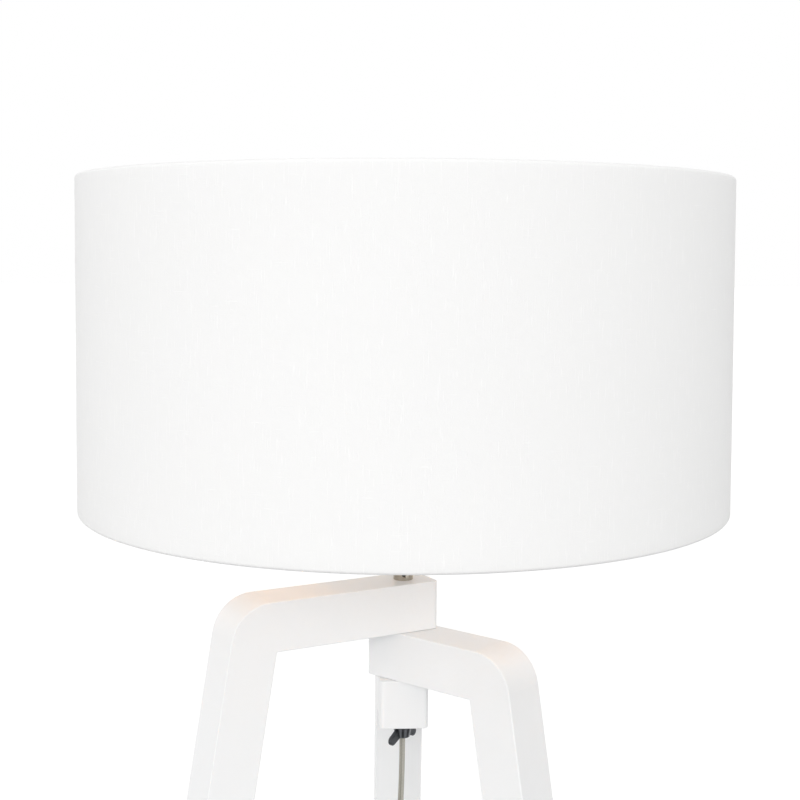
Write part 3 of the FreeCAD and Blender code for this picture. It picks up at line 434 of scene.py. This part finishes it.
def settled_line(route):
    """Points along a smooth curve that has the route's points as its control points."""
    curve = bpy.data.curves.new("route", "CURVE")
    curve.dimensions = "3D"
    curve.resolution_u = 16
    spline = curve.splines.new("NURBS")
    spline.points.add(len(route) - 1)
    spline.points.foreach_set("co", np.hstack([route, np.ones((len(route), 1))]).ravel())
    spline.order_u = 3
    spline.use_endpoint_u = True
    holder = bpy.data.objects.new("route", curve)
    bpy.context.scene.collection.objects.link(holder)
    mesh = bpy.data.meshes.new_from_object(holder)
    line = np.empty(len(mesh.vertices) * 3)
    mesh.vertices.foreach_get("co", line)
    bpy.data.meshes.remove(mesh)
    bpy.data.objects.remove(holder)
    return line.reshape(-1, 3)


def twin_lead(name, line, turn):
    """Carries the lead's outline along a line. The outline is two circles side by side, given as their
    outer distance at each angle: offset times cosine, plus the root of the half-width squared less the square
    of offset times sine, and no less than the waist between them. It turns about the line by an angle at each
    point, and lies flat on the floor where that turn is none."""
    along = np.gradient(line, axis=0)
    along /= np.linalg.norm(along, axis=1, keepdims=True)
    fall = np.abs(along[:, 2:])
    upright = fall * flat_faces + (1 - fall) * np.array([0.0, 0.0, 1.0])
    side = np.cross(along, upright)
    side /= np.linalg.norm(side, axis=1, keepdims=True)
    over = np.cross(side, along)
    angle = np.linspace(0, 2 * math.pi, 28, endpoint=False)
    reach = core_offset * np.abs(np.cos(angle)) + np.sqrt(np.maximum(
        core_half ** 2 - (core_offset * np.sin(angle)) ** 2, (waist * core_half) ** 2 * np.sin(angle) ** 2))
    turned = angle[None, :] + turn[:, None]
    grid = (line[:, None] + reach[None, :, None] * (np.cos(turned)[..., None] * side[:, None]
                                                    - np.sin(turned)[..., None] * over[:, None]))
    piece = grid_mesh(name, grid, clear_lead, cap_ends=True)
    step = np.linalg.norm(np.diff(line, axis=0), axis=1)
    metres = np.concatenate([[0], np.cumsum(step)])
    across = np.concatenate([np.tile(np.cos(angle), len(line)), [0, 0]])
    down = np.concatenate([np.repeat(metres, len(angle)), [0, metres[-1]]])
    for label, values in (("across", across), ("down", down)):
        on_points = piece.data.attributes.new(label, "FLOAT", "POINT").data
        on_points.foreach_set("value", values.astype(np.float32))
    return piece


clear_lead = Finish("clear_twin_lead", {"Roughness": 0.16, "Coat Weight": 0.8, "Coat Roughness": 0.08,
                                        "Specular IOR Level": 0.6})
across, down = (clear_lead.node("ShaderNodeAttribute", {"attribute_name": label}, {}, "Fac")
                for label in ("across", "down"))
place = clear_lead.node("ShaderNodeCombineXYZ", {}, {0: across * (lead_width / 2), 1: down})
lay = clear_lead.node("ShaderNodeTexWave", {"bands_direction": "Y"},
                      {"Vector": clear_lead.node("ShaderNodeVectorMath", {"operation": "MULTIPLY"},
                                                 {0: place, 1: (130.0, 260.0, 1.0)}),
                       "Scale": 1.0, "Distortion": 1.2})
# The cores show through the clear skin. On top of their own colour, the lead is painted darker along the
# groove between the two cores and lighter towards its two outer edges: painted shade and painted sheen.
painted_edge_sheen = across * across
cores_with_painted_sheen = clear_lead.colour((0.30, 0.285, 0.235), (0.53, 0.515, 0.455), 0.35 + 0.65 * painted_edge_sheen)
clear_lead.feed("Base Color", clear_lead.node(
    "ShaderNodeMix", {"data_type": "RGBA", "blend_type": "MULTIPLY"},
    {0: 0.35, 6: cores_with_painted_sheen, 7: clear_lead.colour((0.72, 0.72, 0.70), (1.0, 1.0, 1.0), lay)}, 2))
clear_lead.feed("Metallic", 0.15 + 0.25 * lay)
clear_lead.bump(lay, 0.00004)

hanging_route = np.array([
    (0.0, 0.0, lead_exit), (0.0, 0.0, lead_exit - 0.034), (-0.0031, 0.0005, lead_exit - 0.092),
    (-0.0080, 0.0015, lead_exit - 0.160), (-0.0132, 0.0032, lead_exit - 0.234),
    (-0.0179, 0.0055, lead_exit - 0.308), (-0.0218, 0.0084, lead_exit - 0.382),
    (-0.0250, 0.0120, lead_exit - 0.456), (-0.0277, 0.0162, lead_exit - 0.530),
    (-0.0301, 0.0210, lead_exit - 0.604), (-0.0326, 0.0265, lead_exit - 0.678),
    (-0.0359, 0.0328, lead_exit - 0.750), (-0.0408, 0.0402, lead_exit - 0.820),
    (-0.0484, 0.0494, lead_exit - 0.884), (-0.0606, 0.0602, lead_exit - 0.938),
    (-0.0770, 0.0740, 0.0205), (-0.0945, 0.0875, 0.0052), (-0.1090, 0.0970, 0.0027),
    (-0.1175, 0.1090, 0.0027), (-0.1213, 0.1234, 0.0027), (-0.1198, 0.1382, 0.0029),
    (-0.1132, 0.1518, 0.0042), (-0.1012, 0.1628, 0.0066), (-0.0854, 0.1685, 0.0090),
    (-0.0670, 0.1685, 0.0090)])
lamp_axis = np.array([axis_x, axis_y, 0.0])
hanging_line = settled_line(hanging_route + lamp_axis)
share_hanging = np.clip((lead_exit - hanging_line[:, 2]) / lead_exit, 0, 1)
hanging_turn = 2 * math.pi * (1 + np.cos(math.pi * share_hanging))
hanging_lead = twin_lead("lead_to_switch", hanging_line, hanging_turn)
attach(hanging_lead, "stand")
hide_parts("cord_hanging")

coil_x, coil_y = 0.075, 0.070
inner_turn, outer_turn = 0.0260, 0.0312
layers = (0.0036, 0.0088, 0.0140)
lay_order = [(outer_turn, layers[0]), (inner_turn, layers[0]), (inner_turn, layers[1]),
             (outer_turn, layers[1]), (outer_turn, layers[2]), (inner_turn, layers[2])]
coil_turns, points_a_turn = 5.25, 20
crossing_share, last_crossing, crossing_step = 0.26, 0.30, 0.105


def coiled_points():
    """Five and a quarter turns, clockwise from above. Each turn keeps its place in the bundle for a part of
    the way round, then crosses to the next place in the order within a share of a turn. A later turn crosses
    at an earlier angle, so that no two meet."""
    count = int(coil_turns * points_a_turn)
    turn = np.arange(1, count) / points_a_turn
    whole = np.minimum(turn.astype(int), 4)
    start = last_crossing + crossing_step * (4 - whole)
    share = np.clip((turn - whole - start) / crossing_share, 0, 1)
    share = share * share * (3 - 2 * share)
    places = np.array(lay_order)
    here = places[whole] * (1 - share)[:, None] + places[whole + 1] * share[:, None]
    radius = here[:, 0] / math.cos(math.pi / points_a_turn)
    angle = -2 * math.pi * turn
    return np.stack([coil_x + radius * np.cos(angle), coil_y + radius * np.sin(angle), here[:, 1]], -1)


floor_route = np.array([
    (0.0550, 0.1685, 0.0090), (0.0710, 0.1685, 0.0090), (0.0865, 0.1620, 0.0054), (0.0985, 0.1490, 0.0027),
    (0.1055, 0.1325, 0.0027), (0.1080, 0.1130, 0.0028), (0.1074, 0.0910, 0.0032), (0.1062, 0.0700, 0.0036)])
tail_route = np.array([
    (0.0750, 0.0388, 0.0140), (0.0560, 0.0384, 0.0126), (0.0380, 0.0340, 0.0094), (0.0250, 0.0225, 0.0072),
    (0.0180, 0.0070, 0.00685), (0.0180, -0.0100, 0.00685)])
stored_line = settled_line(np.vstack([floor_route, coiled_points(), tail_route]) + lamp_axis)
stored_lead = twin_lead("lead_to_plug", stored_line, np.zeros(len(stored_line)))
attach(stored_lead, "stand")
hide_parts("cord_floor", "cord_coil", "cord_tail")

# ---------------------------------------------------------------- tie, foot switch and plug
# The stored length is held by a plastic strap. Switch and plug are moulded white, screwed or welded shut,
# with a soft tapered sleeve where the lead goes in.
strap = Finish("dark_tie", {"Roughness": 0.5})
strap.feed("Base Color", strap.colour((0.028, 0.028, 0.03), (0.05, 0.05, 0.052), strap.noise(400)))
dress(["coil_tie"], strap)

white = Finish("white_moulded_plastic", {"Coat Weight": 0.2, "Coat Roughness": 0.2})
spark = white.noise(1600, detail=1)
white.feed("Base Color", white.colour((0.83, 0.83, 0.815), (0.87, 0.87, 0.855), white.noise(40)))
white.feed("Roughness", 0.34 + 0.12 * spark)
white.bump(spark, 0.00003)
dress(["switch_base", "switch_cover", "switch_button", "plug_body"], white)

soft = Finish("soft_sleeve_plastic", {"Roughness": 0.6})
soft.feed("Base Color", soft.colour((0.80, 0.80, 0.785), (0.84, 0.84, 0.825), soft.noise(120)))
soft.bump(soft.noise(1400, detail=1), 0.00003)
dress(["switch_sleeve_in", "switch_sleeve_out", "plug_strain_relief", "plug_pin_sleeves", "cord_inside"],
      soft)

coiled_steel = Finish("spring_steel", {"Metallic": 1.0, "Roughness": 0.3})
drawing = coiled_steel.noise(600)
coiled_steel.feed("Base Color", coiled_steel.colour((0.42, 0.43, 0.45), (0.60, 0.61, 0.63), drawing))

# The button's return spring is a coil of round wire, carried along a helix. It stands on the base, and the
# button presses it shorter.
spring_low, spring_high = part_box("switch_spring")
spring_length = spring_high.z - spring_low.z
wire_radius, spring_turns = 0.00045, 3.5
coil_radius = (spring_high.x - spring_low.x) / 2 - wire_radius
winding = np.linspace(0, 2 * math.pi * spring_turns, 99)
outwards = np.stack([np.cos(winding), np.sin(winding), np.zeros_like(winding)], -1)
wire_line = coil_radius * outwards + np.array([
    (spring_low.x + spring_high.x) / 2, (spring_low.y + spring_high.y) / 2, spring_low.z + wire_radius])
wire_line[:, 2] += winding / winding[-1] * (spring_length - 2 * wire_radius)
along_wire = np.gradient(wire_line, axis=0)
along_wire /= np.linalg.norm(along_wire, axis=1, keepdims=True)
wire_turn = np.linspace(0, 2 * math.pi, 10, endpoint=False)[None, :, None]
wire_grid = wire_line[:, None] + wire_radius * (
    np.cos(wire_turn) * outwards[:, None] + np.sin(wire_turn) * np.cross(along_wire, outwards)[:, None])
spring = grid_mesh("switch_return_spring", wire_grid, coiled_steel, cap_ends=True)
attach(spring, "stand")
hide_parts("switch_spring")
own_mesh(spring)

# ---------------------------------------------------------------- floor and light
# A plain pale floor in a white room, a little dimmer overhead. One broad soft lamp stands in front, just
# left of the middle, and the bulb's own warm light fills the shade and falls on the arms.
scene = bpy.context.scene
scene.view_settings.view_transform = "Standard"
world = bpy.data.worlds.new("room")
scene.world = world
world.use_nodes = True
room = Nodes(world.node_tree)
facing = room.node("ShaderNodeTexCoord", {}, {}, "Generated")
rightwards, backwards, upwards = (room.node("ShaderNodeSeparateXYZ", {}, {0: facing}, axis)
                                  for axis in "XYZ")
level_light, overhead_light = 1.365, 0.56
dimming = room.node("ShaderNodeMapRange", {},
                    {"Value": upwards, "To Min": level_light, "To Max": overhead_light})


def seen_straight(nodes):
    """One for rays that come from the camera, or from it through glass, and nought for other rays."""
    camera_ray, glass_ray = (nodes.node("ShaderNodeLightPath", {}, {}, ray)
                             for ray in ("Is Camera Ray", "Is Transmission Ray"))
    return camera_ray.maths("MAXIMUM", glass_ray)


# Bright metal shows the white room, with tall dark screens standing in it at the front and on both sides.
aside = rightwards.maths("ARCTAN2", 0 - backwards)
screens = sum(aside.maths("COMPARE", middle, half_width)
              for middle, half_width in ((0.13, 0.36), (1.62, 0.33), (-1.40, 0.55)))
mirror_ray = room.node("ShaderNodeLightPath", {}, {}, "Is Glossy Ray")
screen_darkness = 0.92
indirect = room.node("ShaderNodeMix", {},
                     {0: mirror_ray, 2: dimming, 3: 1 - screen_darkness * screens})
backdrop = room.tree.nodes["Background"]
backdrop.inputs["Color"].default_value = (1, 1, 1, 1)
room.set(backdrop.inputs["Strength"],
         room.node("ShaderNodeMix", {}, {0: seen_straight(room), 2: indirect, 3: 1.0}))

key = bpy.data.lights.new("front_lamp", "SUN")
key.energy = 0.97
key.angle = math.radians(30)
front_lamp = bpy.data.objects.new("front_lamp", key)
scene.collection.objects.link(front_lamp)
front_lamp.rotation_euler = (math.radians(75), 0, math.radians(-11.5))
front_lamp.visible_glossy = False

glow = bpy.data.lights.new("bulb_light", "POINT")
glow.energy = 0.25
glow.color = (1.0, 0.50, 0.16)
glow.shadow_soft_size = 0.012
bulb_light = bpy.data.objects.new("bulb_light", glow)
scene.collection.objects.link(bulb_light)
bulb_light.location = (axis_x, axis_y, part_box("bulb_filament")[1].z + 0.004)

ground = bpy.data.meshes.new("floor")
floor_side, floor_back = 30, 60
ground.from_pydata([(-floor_side, -floor_side, 0), (floor_side, -floor_side, 0),
                    (floor_side, floor_back, 0), (-floor_side, floor_back, 0)], [], [(0, 1, 2, 3)])
floor = bpy.data.objects.new("floor", ground)
scene.collection.objects.link(floor)
floor.visible_glossy = False
pale = Finish("pale_floor", {"Base Color": (0.53, 0.53, 0.53, 1), "Roughness": 0.8,
                             "Emission Strength": 0.58})
pale.feed("Emission Color", pale.colour((0, 0, 0), (1, 1, 1), seen_straight(pale)))
ground.materials.append(pale.material)
